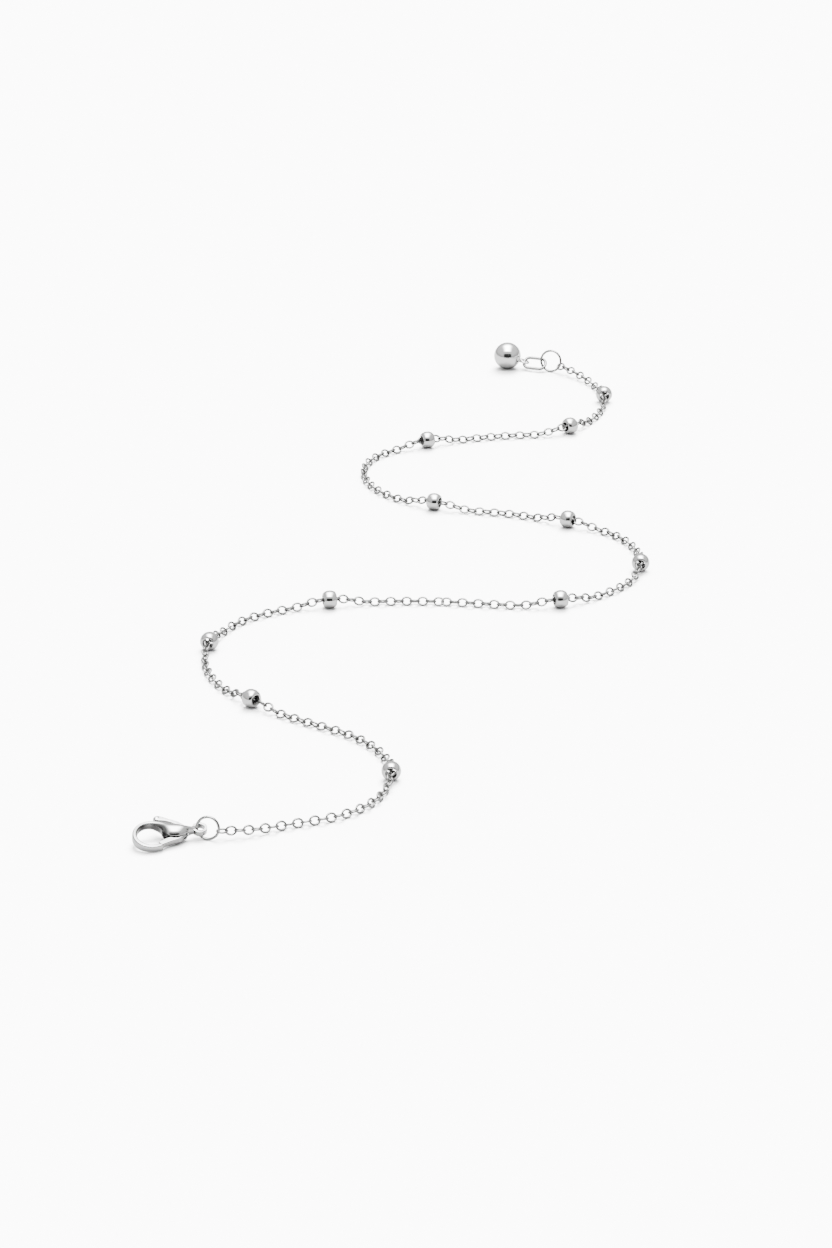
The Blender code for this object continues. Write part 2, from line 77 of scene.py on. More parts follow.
# The clasp's place on the floor, its turn there and its roll about its own length.
CLASP_AT = (-27.9, -82.61)
CLASP_TURN = 18.0
CLASP_ROLL = 16.0

# One row for each section of the clasp's band, from the hook's tip round to the eye: u, v, width,
# height, and how square its corners are.
CLASP_BAND = (
    (-1.00, -1.66, 0.52, 0.86, 3.2),
    (-2.30, -1.88, 0.54, 0.92, 3.2),
    (-3.45, -1.50, 0.58, 1.00, 3.2),
    (-4.10, -0.60, 0.60, 1.05, 3.2),
    (-4.16, 0.45, 0.60, 1.05, 3.2),
    (-3.70, 1.50, 0.56, 1.04, 3.2),
    (-2.80, 2.16, 0.54, 1.04, 3.0),
    (-1.80, 2.24, 0.58, 1.10, 2.8),
    (-1.10, 1.92, 0.80, 1.30, 2.5),
    (-0.36, 1.28, 1.30, 1.70, 2.2),
    (0.52, 0.32, 2.43, 2.20, 2.0),
    (1.28, 0.16, 2.14, 2.16, 2.0),
    (2.02, 0.31, 1.20, 1.66, 2.2),
    (2.64, 0.35, 0.74, 1.10, 2.6),
    (3.10, 0.36, 0.66, 0.86, 2.8),
)

# The lever's outline round its pivot.
LEVER_OUTLINE = (
    (-3.60, -1.55), (-1.80, -0.94), (-0.62, -0.34), (-0.52, 0.10), (-0.46, 0.62), (-0.95, 1.38),
    (-1.90, 2.02), (-2.60, 2.24), (-2.94, 2.48), (-3.00, 2.80), (-2.74, 3.04), (-2.36, 2.96),
    (-1.45, 2.30), (-0.40, 1.52), (0.20, 0.76), (0.42, 0.36), (0.52, 0.00), (0.38, -0.40),
    (0.08, -0.66), (-0.36, -1.14), (-1.70, -1.62), (-3.60, -2.22),
)


class Body(Enum):
    """The rigid bodies that pieces ride on."""

    BRACELET = "bracelet"
    LEVER = "lever"


class Signal:
    """A node socket's value that takes part in Python arithmetic."""

    def __init__(self, graph: "NodeGraph", socket: bpy.types.NodeSocket) -> None:
        """Wrap one output socket of a graph."""
        self.graph = graph
        self.socket = socket

    def _math(self, operation: str, first: "Value", second: "Value") -> "Signal":
        """Join two values with one Math node."""
        return self.graph.node("ShaderNodeMath", {"operation": operation}, {0: first, 1: second})

    def __add__(self, other: "Value") -> "Signal":
        """Sum."""
        return self._math("ADD", self, other)

    def __radd__(self, other: "Value") -> "Signal":
        """Sum with a number in front."""
        return self._math("ADD", other, self)

    def __sub__(self, other: "Value") -> "Signal":
        """Difference."""
        return self._math("SUBTRACT", self, other)

    def __rsub__(self, other: "Value") -> "Signal":
        """Difference from a number."""
        return self._math("SUBTRACT", other, self)

    def __mul__(self, other: "Value") -> "Signal":
        """Product."""
        return self._math("MULTIPLY", self, other)

    def __mod__(self, other: "Value") -> "Signal":
        """Remainder."""
        return self._math("MODULO", self, other)

    def __pow__(self, other: "Value") -> "Signal":
        """Power."""
        return self._math("POWER", self, other)


Value = Signal | float | int | tuple


class NodeGraph:
    """A node tree with one method that makes any node."""

    def __init__(self, tree: bpy.types.NodeTree) -> None:
        """Work on a node tree."""
        self.tree = tree

    def node(
        self, kind: str, settings: dict | None = None, values: dict | None = None, output: int | str = 0
    ) -> Signal:
        """Make a node, set it up and feed its sockets.

        Args:
            kind: The node's type.
            settings: Its own properties, set before its sockets are touched. The key "stops" holds a
                colour ramp's positions and greys.
            values: Numbers, tuples or signals for its inputs, by name or number.
            output: Which output to give back.

        Returns:
            The chosen output as a signal.
        """
        made = self.tree.nodes.new(kind)
        for key, value in (settings or {}).items():
            if key == "stops":
                self._set_ramp(made.color_ramp, value)
            else:
                setattr(made, key, value)
        for key, value in (values or {}).items():
            if isinstance(value, Signal):
                self.tree.links.new(value.socket, made.inputs[key])
            else:
                made.inputs[key].default_value = value
        return Signal(self, made.outputs[output])

    def mix(self, share: Value, first: Value, second: Value) -> Signal:
        """Blend two colours: all of the first at a share of nought, all of the second at one."""
        # A Mix node's colour sockets share their names with its number sockets, so they go by place.
        return self.node("ShaderNodeMix", {"data_type": "RGBA"}, {0: share, 6: first, 7: second}, 2)

    @staticmethod
    def _set_ramp(ramp: bpy.types.ColorRamp, stops: Sequence[tuple[float, float]]) -> None:
        """Give a colour ramp its stops, each a position and a grey."""
        while len(ramp.elements) > 1:
            ramp.elements.remove(ramp.elements[-1])
        for i, (position, grey) in enumerate(stops):
            element = ramp.elements[0] if i == 0 else ramp.elements.new(position)
            element.position = position
            element.color = (grey, grey, grey, 1)


@dataclass(frozen=True)
class HollowShadeAndDulling:
    """The inside of the clasp's hook: its darker colour is painted shade in the recess, and its added
    roughness the duller steel that the polishing wheel doesn't reach.
    """

    height: float = 1.3
    centre: tuple[float, float] = (-2.2, 0.15)
    radius: float = 1.86
    edge: float = 0.12
    # Painted shade: the near-black colour laid over the inside of the hook, where the recess lies in
    # shadow.
    tint: tuple[float, float, float] = (0.11, 0.11, 0.109)
    roughness: float = 0.12

    def mask(self, graph: NodeGraph, place: Signal) -> Signal:
        """One inside the hook and nought outside it."""
        at = [length * MM for length in (*CLASP_AT, self.height)]
        rotation = (math.radians(CLASP_ROLL), 0, math.radians(CLASP_TURN))
        values = {"Vector": place, "Location": at, "Rotation": rotation, "Scale": (MM, MM, MM)}
        own = graph.node("ShaderNodeMapping", {"vector_type": "TEXTURE"}, values)
        parts = graph.node("ShaderNodeSeparateXYZ", values={"Vector": own}).socket.node
        u, v = (Signal(graph, parts.outputs[axis]) for axis in "XY")
        away = ((u - self.centre[0]) ** 2 + (v - self.centre[1]) ** 2) ** 0.5
        bounds = {"From Min": self.radius - self.edge, "From Max": self.radius + self.edge}
        values = {"Value": away, **bounds, "To Min": 1.0, "To Max": 0.0}
        return graph.node("ShaderNodeMapRange", values=values)


@dataclass(frozen=True)
class PolishedSteel:
    """One finish of polished stainless steel.

    The polish is never quite even: its gloss wanders a little, fine wheel marks cross it and small
    scuffs dull it in places.
    """

    name: str
    tint: tuple[float, float, float] = (0.62, 0.62, 0.615)
    shade: float = 0.54
    roughness: float = 0.06
    unevenness: float = 0.05
    cloud_size: float = 0.55
    cloud_detail: float = 2.0
    cloud_shade: float = 0.6
    scuff_size: float = 0.22
    scuff_detail: float = 4.0
    scuff_shade: float = 0.3
    scuff_dulling: float = 0.8
    scuffed: tuple[float, float] = (0.52, 0.72)
    mark_depth: float = 0.10
    mark_height: float = 0.02
    mark_size: float = 0.10
    mark_detail: float = 3.0
    mark_turn: tuple[float, float, float] = (0.5, 0.3, 0.6)  # in radians
    mark_stretch: tuple[float, float, float] = (0.25, 1.0, 1.0)
    hollow_shade_and_dulling: HollowShadeAndDulling | None = None

    def material(self) -> bpy.types.Material:
        """Build the finish.

        Returns:
            The material, with procedural colour, roughness and fine relief.
        """
        made = bpy.data.materials.new(self.name)
        made.use_nodes = True
        made.diffuse_color = (*self.tint, 1)
        shader = made.node_tree.nodes["Principled BSDF"]
        shader.inputs["Metallic"].default_value = 1.0
        graph = NodeGraph(made.node_tree)
        place = graph.node("ShaderNodeTexCoord", output="Object")
        wander = self._noise(graph, place, self.cloud_size, self.cloud_detail)
        scuffs = self._noise(graph, place, self.scuff_size, self.scuff_detail)
        marks = self._wheel_marks(graph, place)
        stops = tuple(zip(self.scuffed, (0.0, 1.0)))
        worn = graph.node("ShaderNodeValToRGB", {"stops": stops}, {"Fac": scuffs})
        gloss = self.roughness + wander * self.unevenness
        gloss = gloss + worn * (self.unevenness * self.scuff_dulling)
        shading = wander * self.cloud_shade + worn * self.scuff_shade
        tone = graph.mix(shading, (*self.tint, 1), (self.shade, self.shade, self.shade, 1))
        # Painted shade: the inside of the hook is darkened where its recess lies in shadow; the added
        # roughness is the unpolished steel there.
        if self.hollow_shade_and_dulling:
            inside = self.hollow_shade_and_dulling.mask(graph, place)
            tone = graph.mix(inside, tone, (*self.hollow_shade_and_dulling.tint, 1))
            gloss = gloss + inside * self.hollow_shade_and_dulling.roughness
        values = {"Strength": self.mark_depth, "Distance": self.mark_height * MM, "Height": marks}
        relief = graph.node("ShaderNodeBump", values=values)
        links = made.node_tree.links
        links.new(tone.socket, shader.inputs["Base Color"])
        links.new(gloss.socket, shader.inputs["Roughness"])
        links.new(relief.socket, shader.inputs["Normal"])
        return made

    @staticmethod
    def _noise(graph: NodeGraph, place: Signal, size_mm: float, detail: float) -> Signal:
        """Cloudy variation whose blotches are about size_mm across."""
        values = {"Vector": place, "Scale": 1 / (size_mm * MM), "Detail": detail, "Roughness": 0.55}
        return graph.node("ShaderNodeTexNoise", values=values)

    def _wheel_marks(self, graph: NodeGraph, place: Signal) -> Signal:
        """The polishing wheel's fine marks, drawn out along the piece."""
        values = {"Vector": place, "Rotation": self.mark_turn, "Scale": self.mark_stretch}
        turned = graph.node("ShaderNodeMapping", values=values)
        return self._noise(graph, turned, self.mark_size, self.mark_detail)


def evaluated_mesh(obj: bpy.types.Object) -> bpy.types.Mesh:
    """A plain mesh of an object as its modifiers leave it."""
    graph = bpy.context.evaluated_depsgraph_get()
    graph.update()
    return bpy.data.meshes.new_from_object(obj.evaluated_get(graph))


def as_mesh(shape: bmesh.types.BMesh, name: str) -> bpy.types.Mesh:
    """Turn a BMesh into a mesh and free it."""
    mesh = bpy.data.meshes.new(name)
    shape.to_mesh(mesh)
    shape.free()
    return mesh


def new_object(name: str, data: bpy.types.ID) -> bpy.types.Object:
    """Link new data into the scene as an object."""
    made = bpy.data.objects.new(name, data)
    bpy.context.scene.collection.objects.link(made)
    return made


def discard(*objects: bpy.types.Object) -> None:
    """Remove helper objects that have done their work."""
    for obj in objects:
        bpy.data.objects.remove(obj, do_unlink=True)


def natural_spline(points: Iterable, count: int) -> np.ndarray:
    """The smooth curve through a list of points.

    Args:
        points: Points of any one dimension.
        count: How many evenly spaced points to give back.

    Returns:
        The curve's points, one a row.
    """
    given = np.asarray(tuple(points), float)
    along = np.concatenate([[0], np.cumsum(np.linalg.norm(np.diff(given, axis=0), axis=1))])
    gaps = np.diff(along)
    last = len(given) - 1
    system = np.eye(last + 1)
    known = np.zeros_like(given)
    for i in range(1, last):
        system[i, i - 1 : i + 2] = gaps[i - 1], 2 * (gaps[i - 1] + gaps[i]), gaps[i]
        rise, before = (given[i + 1] - given[i]) / gaps[i], (given[i] - given[i - 1]) / gaps[i - 1]
        known[i] = 6 * (rise - before)
    bends = np.linalg.solve(system, known)
    at = np.linspace(0, along[-1], count)
    i = np.clip(np.searchsorted(along, at) - 1, 0, last - 1)
    gap = gaps[i][:, None]
    ahead = along[i + 1][:, None] - at[:, None]
    behind = at[:, None] - along[i][:, None]
    curved = (bends[i] * ahead**3 + bends[i + 1] * behind**3) / (6 * gap)
    straight = (given[i] / gap - bends[i] * gap / 6) * ahead
    straight += (given[i + 1] / gap - bends[i + 1] * gap / 6) * behind
    return curved + straight


@dataclass(frozen=True)
class Piece:
    """One finished piece: where it rides, the nodes it stands for and its finish."""

    name: str
    body: Body
    nodes: tuple[str, ...]
    slot: str
    finish: bpy.types.Material

    def place(self, mesh: bpy.types.Mesh) -> None:
        """Put a finished mesh into the bracelet, riding on its body.

        Args:
            mesh: The piece's mesh, in the bracelet's frame.
        """
        mesh.materials.clear()
        mesh.materials.append(self.finish)
        mesh.shade_smooth()
        made = new_object(self.name, mesh)
        mesh.name = self.name
        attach(made, self.body.value)
        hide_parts(*self.nodes)
        LOG.info("%s: %d faces", self.name, len(mesh.polygons))


def arc(radius: float, start: float, end: float, steps: int) -> list[tuple[float, float]]:
    """Points on an arc round the origin."""
    angles = [math.radians(start + (end - start) * i / steps) for i in range(steps + 1)]
    return [(radius * math.cos(a), radius * math.sin(a)) for a in angles]


def tilted(turn: float, tilt: float, axis: str = "X") -> Matrix:
    """A tilt about one axis and then a turn on the floor."""
    level = Matrix.Rotation(math.radians(turn), 4, "Z")
    return level @ Matrix.Rotation(math.radians(tilt), 4, axis)


def round_wire(points: Sequence, diameter: float, closed: bool, sides: int = 5) -> bpy.types.Mesh:
    """Wire bent flat along a line of points.

    Args:
        points: The wire's middle line, as x and y.
        diameter: The wire's thickness.
        closed: Whether the wire's ends meet.
        sides: The bevel resolution of its round section.

    Returns:
        The wire's mesh, its ends capped if it is open.
    """
    curve = bpy.data.curves.new("wire", "CURVE")
    curve.dimensions = "3D"
    curve.bevel_depth = diameter / 2
    curve.bevel_resolution = sides
    curve.use_fill_caps = not closed
    spline = curve.splines.new("POLY")
    spline.points.add(len(points) - 1)
    for slot, point in zip(spline.points, points):
        slot.co = (*point, 0, 1)
    spline.use_cyclic_u = closed
    holder = new_object("wire", curve)
    mesh = evaluated_mesh(holder)
    discard(holder)
    return cleaned(mesh, diameter * WELD)


def cleaned(mesh: bpy.types.Mesh, merge: float) -> bpy.types.Mesh:
    """Weld a mesh's doubled points and turn its faces outwards."""
    shape = bmesh.new()
    shape.from_mesh(mesh)
    bmesh.ops.remove_doubles(shape, verts=shape.verts, dist=merge)
    bmesh.ops.recalc_face_normals(shape, faces=shape.faces)
    shape.to_mesh(mesh)
    shape.free()
    return mesh


def joined(meshes: Sequence[bpy.types.Mesh]) -> bpy.types.Mesh:
    """Several meshes as one."""
    shape = bmesh.new()
    for mesh in meshes:
        shape.from_mesh(mesh)
    return as_mesh(shape, "joined")


@dataclass
class ChainLine:
    """The chain's middle line: the route over the floor, lifted where beads and rings hold it."""

    link_length: float = 1.50
    link_width: float = 1.28
    wire: float = 0.27
    bead_radius: float = 1.2
    bead_half_length: float = 0.875
    drop: float = 4.6
    ring_height: float = 1.08
    ring_drop: float = 9.0
    steepest: float = 0.86
    samples: int = 4000
    plan: np.ndarray = field(init=False)
    along: np.ndarray = field(init=False)

    def __post_init__(self) -> None:
        """Measure the route."""
        self.plan = natural_spline(ROUTE, self.samples)
        steps = np.linalg.norm(np.diff(self.plan, axis=0), axis=1)
        self.along = np.concatenate([[0], np.cumsum(steps)])

    @property
    def length(self) -> float:
        """The chain's length."""
        return float(self.along[-1])

    def roll(self, station: np.ndarray) -> np.ndarray:
        """The links' roll in radians at distances along the chain."""
        at, degrees = np.array(LINK_ROLLS).T
        return np.radians(np.interp(station, at, degrees))

    def height(self, station: np.ndarray) -> np.ndarray:
        """The height of the chain's middle at distances along it."""
        roll = self.roll(station)
        reach = np.maximum(np.abs(np.sin(roll)), np.abs(np.cos(roll)))
        lying = (self.link_width - self.wire) / 2 * np.minimum(reach, self.steepest) + self.wire / 2
        held = [(s, self.bead_radius, self.bead_half_length, self.drop) for s in BEAD_STATIONS]
        held += [(end, self.ring_height, 0.0, self.ring_drop) for end in (0.0, self.length)]
        high = lying.copy()
        for centre, lifted, flat, drop in held:
            fall = np.clip((np.abs(station - centre) - flat) / drop, 0, 1)
            share = 1 - fall * fall * (3 - 2 * fall)
            high = np.maximum(high, lying + (lifted - lying) * share)
        return high

    def points(self) -> np.ndarray:
        """The middle line's points, in metres."""
        return np.column_stack([self.plan, self.height(self.along)]) * MM

    def at(self, station: float) -> np.ndarray:
        """The point at one distance along the chain, in metres."""
        line = self.points()
        return np.array([np.interp(station, self.along, line[:, i]) for i in range(3)])

    def heading(self, station: float, reach: float = 0.2) -> np.ndarray:
        """The chain's level direction at one distance along it, between two points a reach away."""
        run = self.at(station + reach) - self.at(station - reach)
        run[2] = 0
        return run / np.linalg.norm(run)


class GeometryTree:
    """A Geometry Nodes tree with named inputs, run once on an object to give a plain mesh."""

    def __init__(self, name: str) -> None:
        """Start a tree whose first input and only output are geometry."""
        self.tree = bpy.data.node_groups.new(name, "GeometryNodeTree")
        self.tree.interface.new_socket("Geometry", in_out="INPUT", socket_type="NodeSocketGeometry")
        self.tree.interface.new_socket("Geometry", in_out="OUTPUT", socket_type="NodeSocketGeometry")
        self.graph = NodeGraph(self.tree)
        self.entry = self.tree.nodes.new("NodeGroupInput")
        self.exit = self.tree.nodes.new("NodeGroupOutput")
        self.inputs: dict[str, str] = {}

    def input(self, name: str, kind: str) -> Signal:
        """Add a named input.

        Args:
            name: The input's name.
            kind: Its socket type's last word, such as Float or Int.

        Returns:
            The input's value inside the tree.
        """
        socket = self.tree.interface.new_socket(name, in_out="INPUT", socket_type=f"NodeSocket{kind}")
        self.inputs[name] = socket.identifier
        return Signal(self.graph, self.entry.outputs[name])

    def geometry(self) -> Signal:
        """The geometry that the tree is run on."""
        return Signal(self.graph, self.entry.outputs["Geometry"])

    def facing(self, heading: Signal) -> Signal:
        """The rotation that turns an instance's X axis along a heading and keeps it upright."""
        axes = {"primary_axis": "X", "secondary_axis": "Z"}
        values = {"Primary Axis": heading, "Secondary Axis": (0.0, 0.0, 1.0)}
        return self.graph.node("FunctionNodeAxesToRotation", axes, values)

    def close(self, instances: Signal, material: Signal) -> None:
        """End the tree: realise the instances, smooth them and give them their finish."""
        real = self.graph.node("GeometryNodeRealizeInstances", values={"Geometry": instances})
        smooth = self.graph.node("GeometryNodeSetShadeSmooth", values={"Geometry": real})
        dressed = self.graph.node(
            "GeometryNodeSetMaterial", values={"Geometry": smooth, "Material": material}
        )
        self.tree.links.new(dressed.socket, self.exit.inputs["Geometry"])

    def run(self, holder: bpy.types.Object, values: dict) -> bpy.types.Mesh:
        """Run the tree on an object.

        Args:
            holder: The object that carries the points or line, removed afterwards.
            values: A value for each named input.

        Returns:
            The result as a plain mesh.
        """
        modifier = holder.modifiers.new("Make", "NODES")
        modifier.node_group = self.tree
        for name, value in values.items():
            modifier[self.inputs[name]] = value
        mesh = evaluated_mesh(holder)
        discard(holder)
        return mesh


@dataclass
class LinkChain:
    """Round links, each turned a quarter round its neighbour, along the chain's line."""

    line: ChainLine
    finish: bpy.types.Material
    pitch: float = 1.05
    sides: int = 10
    segments: int = 24
    looseness: float = math.radians(4)
    seed: int = 7

    def build(self) -> None:
        """Build the whole chain as one piece."""
        tree = self._tree()
        points = self.line.points()
        mesh = bpy.data.meshes.new("chain_line")
        mesh.from_pydata(points.tolist(), [(i, i + 1) for i in range(len(points) - 1)], [])
        rolls = mesh.attributes.new("roll", "FLOAT", "POINT")
        rolls.data.foreach_set("value", self.line.roll(self.line.along).astype(np.float32))
        values = {
            "Link Count": round(self.line.length / self.pitch) + 1,
            "Link Length": self.line.link_length * MM,
            "Link Width": self.line.link_width * MM,
            "Wire Thickness": self.line.wire * MM,
            "Wire Sides": self.sides,
            "Ring Segments": self.segments,
            "Looseness": self.looseness,
            "Seed": self.seed,
            "Finish": self.finish,
        }
        made = tree.run(new_object("chain_line", mesh), values)
        nodes = ("chain_near", "chain_far", "first_link", "last_link")
        Piece("link_chain", Body.BRACELET, nodes, "chain_steel", self.finish).place(made)

    def _tree(self) -> GeometryTree:
        """The tree that strings the links along the line."""
        tree = GeometryTree("Round link chain")
        count = tree.input("Link Count", "Int")
        length = tree.input("Link Length", "Float")
        width = tree.input("Link Width", "Float")
        wire = tree.input("Wire Thickness", "Float")
        sides = tree.input("Wire Sides", "Int")
        segments = tree.input("Ring Segments", "Int")
        looseness = tree.input("Looseness", "Float")
        seed = tree.input("Seed", "Int")
        finish = tree.input("Finish", "Material")
        node = tree.graph.node
        curve = node("GeometryNodeMeshToCurve", values={"Mesh": tree.geometry()})
        spaced = node("GeometryNodeResampleCurve", values={"Curve": curve, "Count": count})
        ring = node(
            "GeometryNodeCurvePrimitiveCircle", values={"Resolution": segments, "Radius": 0.5}
        )
        size = node("ShaderNodeCombineXYZ", values={"X": length - wire, "Y": width - wire, "Z": 1.0})
        oval = node("GeometryNodeTransform", values={"Geometry": ring, "Scale": size})
        section = node(
            "GeometryNodeCurvePrimitiveCircle", values={"Resolution": sides, "Radius": wire * 0.5}
        )
        link = node("GeometryNodeCurveToMesh", values={"Curve": oval, "Profile Curve": section})
        level = tree.facing(node("GeometryNodeInputTangent"))
        roll = node("GeometryNodeInputNamedAttribute", {"data_type": "FLOAT"}, {"Name": "roll"})
        # Random Value names its lowest and highest number alike for every type: 2 and 3 are the floats.
        limits = {2: looseness * -1, 3: looseness}
        slack = node("FunctionNodeRandomValue", {"data_type": "FLOAT"}, {**limits, "Seed": seed}, 1)
        number = node("GeometryNodeInputIndex")
        quarter_turn = math.pi / 2
        turn = roll + slack + (number % 2) * quarter_turn
        about = node("ShaderNodeCombineXYZ", values={"X": turn})
        rolled = node(
            "FunctionNodeRotateRotation",
            {"rotation_space": "LOCAL"},
            {"Rotation": level, "Rotate By": about},
        )
        placed = node(
            "GeometryNodeInstanceOnPoints",
            values={"Points": spaced, "Instance": link, "Rotation": rolled},
        )
        tree.close(placed, finish)
        return tree


@dataclass
class DrilledBeads:
    """The rondelle beads that the chain is drawn through."""

    line: ChainLine
    finish: bpy.types.Material
    # The near-black sheet inside the bores: painted shade in the holes.
    bore_shade_finish: bpy.types.Material
    diameter: float = 2.4
    length: float = 1.75
    bore: float = 1.38
    # The thickness of the near-black sheet laid inside each bore as painted shade.
    bore_skin: float = 0.012
    end_face: float = 0.03
    lip: float = 0.025
    lip_bend: float = 0.3
    segments: int = 72
    steps: int = 24

    def build(self) -> None:
        """Build all the beads as one piece, and a thin near-black sheet inside their bores as another:
        painted shade in the holes, rough like unpolished steel.
        """
        skin = (self.bore / 2, self.bore / 2 - self.bore_skin)
        reach = self.length / 2 - self.lip
        bore = [(skin[0], reach), (skin[0], -reach), (skin[1], -reach), (skin[1], reach)]
        self._string("beads", self._profile(), "bead_steel", self.finish)
        # A thin near-black sheet inside each bore: painted shade in the holes.
        self._string("bead_bores", bore, "bead_steel", self.bore_shade_finish)

    def _string(self, name: str, profile: Sequence, slot: str, finish: bpy.types.Material) -> None:
        """Turn one profile and set it at every bead's place on the chain.

        Args:
            name: The piece's name.
            profile: A closed outline: radius and place along the axis, in millimetres.
            slot: The record's material slot; not used.
            finish: The piece's material.
        """
        tree = GeometryTree(name)
        bead = tree.input("Bead", "Object")
        dressed = tree.input("Finish", "Material")
        node = tree.graph.node
        given = {"Object": bead, "As Instance": True}
        shape = node("GeometryNodeObjectInfo", values=given, output="Geometry")
        heading = node(
            "GeometryNodeInputNamedAttribute", {"data_type": "FLOAT_VECTOR"}, {"Name": "heading"}
        )
        cloud = node("GeometryNodeMeshToPoints", values={"Mesh": tree.geometry()})
        placed = node(
            "GeometryNodeInstanceOnPoints",
            values={"Points": cloud, "Instance": shape, "Rotation": tree.facing(heading)},
        )
        tree.close(placed, dressed)
        mesh = bpy.data.meshes.new("bead_places")
        mesh.from_pydata([self.line.at(s).tolist() for s in BEAD_STATIONS], [], [])
        headings = mesh.attributes.new("heading", "FLOAT_VECTOR", "POINT")
        values = np.array([self.line.heading(s) for s in BEAD_STATIONS], np.float32)
        headings.data.foreach_set("vector", values.ravel())
        model = new_object("bead_model", self._turned(profile))
        made = tree.run(new_object("bead_places", mesh), {"Bead": model, "Finish": finish})
        discard(model)
        nodes = tuple(f"bead_{i:02d}" for i in range(1, len(BEAD_STATIONS) + 1))
        Piece(name, Body.BRACELET, nodes, slot, finish).place(made)

    def _profile(self) -> list[tuple[float, float]]:
        """Half of the bead's section: radius and place along its axis, in millimetres."""
        bore, crown, half = self.bore / 2, self.diameter / 2, self.length / 2
        edge = bore + self.end_face
        angles = [math.pi * i / self.steps for i in range(self.steps + 1)]
        outer = [(edge + (crown - edge) * math.sin(a), half * math.cos(a)) for a in angles]
        bend = self.lip * self.lip_bend
        lip = [(bore + self.lip, -half), (bore + bend, -half + bend), (bore, -half + self.lip)]
        far_lip = [(bore, half - self.lip), (bore + bend, half - bend), (bore + self.lip, half)]
        return outer + lip + far_lip

    def _turned(self, profile: Sequence) -> bpy.types.Mesh:
        """A profile turned about the X axis."""
        shape = bmesh.new()
        points = [shape.verts.new((r * MM, 0, z * MM)) for r, z in profile]
        for one, two in zip(points, points[1:] + points[:1]):
            shape.edges.new((one, two))
        parts = shape.verts[:] + shape.edges[:]
        bmesh.ops.spin(
            shape, geom=parts, axis=(0, 0, 1), cent=(0, 0, 0), angle=math.tau, steps=self.segments
        )
        bmesh.ops.rotate(shape, verts=shape.verts, matrix=Matrix.Rotation(math.pi / 2, 3, "Y"))
        return cleaned(as_mesh(shape, "bead_model"), WELD * MM)


@dataclass
class JumpRing:
    """A ring of round wire with the fine cut where it was closed, leaning back from the front."""

    name: str
    at: tuple[float, float]
    outer: float
    yaw: float
    finish: bpy.types.Material
    wire: float = 0.34
    lean: float = 78.0
    cut_at: float = 100.0
    cut: float = 0.6
    segments: int = 120

    def build(self) -> None:
        """Build the ring."""
        radius = (self.outer - self.wire) / 2
        start = self.cut_at + self.cut / 2
        middle = arc(radius, start, start + 360 - self.cut, self.segments)
        mesh = round_wire(middle, self.wire, closed=False)
        height = radius * math.sin(math.radians(self.lean)) + self.wire / 2
        place = Matrix.Scale(MM, 4) @ Matrix.Translation((*self.at, height))
        mesh.transform(place @ tilted(self.yaw, self.lean))
        nodes = (self.name,)
        Piece(f"{self.name}_wire", Body.BRACELET, nodes, "ring_steel", self.finish).place(mesh)


@dataclass
class CastShape:
    """A cast and tumbled shape in millimetres: blanks joined and cut, then its edges worn round."""

    voxel: float = 0.036
    passes: int = 10

    def finish(self, body: bpy.types.Object) -> bpy.types.Mesh:
        """Wear a shape's edges round.

        Args:
            body: The shape with its Booleans still live, removed afterwards.

        Returns:
            The worn shape's mesh, still in millimetres.
        """
        remesh = body.modifiers.new("Cast", "REMESH")
        remesh.mode = "VOXEL"
        remesh.voxel_size = self.voxel
        remesh.use_smooth_shade = True
        smooth = body.modifiers.new("Tumble", "SMOOTH")
        smooth.factor = 0.5
        smooth.iterations = self.passes
        mesh = evaluated_mesh(body)
        discard(body)
        return mesh


def boolean(body: bpy.types.Object, operation: str, other: bpy.types.Object) -> None:
    """Join or cut a shape with another."""
    modifier = body.modifiers.new(operation.title(), "BOOLEAN")
    modifier.operation = operation
    modifier.solver = "EXACT"
    modifier.object = other


def disc(radius: float, height: float, at: tuple[float, float], segments: int = 64) -> bpy.types.Object:
    """A capped cylinder on the Z axis, centred on z = 0, in millimetres."""
    shape = bmesh.new()
    bmesh.ops.create_cone(
        shape, cap_ends=True, segments=segments, radius1=radius, radius2=radius, depth=height
    )
    bmesh.ops.translate(shape, verts=shape.verts, vec=(*at, 0))
    return new_object("disc", as_mesh(shape, "disc"))


def slab(outline: Sequence, height: float, at: tuple[float, float]) -> bpy.types.Object:
    """A flat outline made a plate, centred on z = 0, in millimetres."""
    shape = bmesh.new()
    low = [shape.verts.new((x + at[0], y + at[1], -height / 2)) for x, y in outline]
    high = [shape.verts.new((x + at[0], y + at[1], height / 2)) for x, y in outline]
    shape.faces.new(low)
    shape.faces.new(high)
    for i in range(len(low)):
        j = (i + 1) % len(low)
        shape.faces.new((low[i], low[j], high[j], high[i]))
    bmesh.ops.recalc_face_normals(shape, faces=shape.faces)
    return new_object("slab", as_mesh(shape, "slab"))


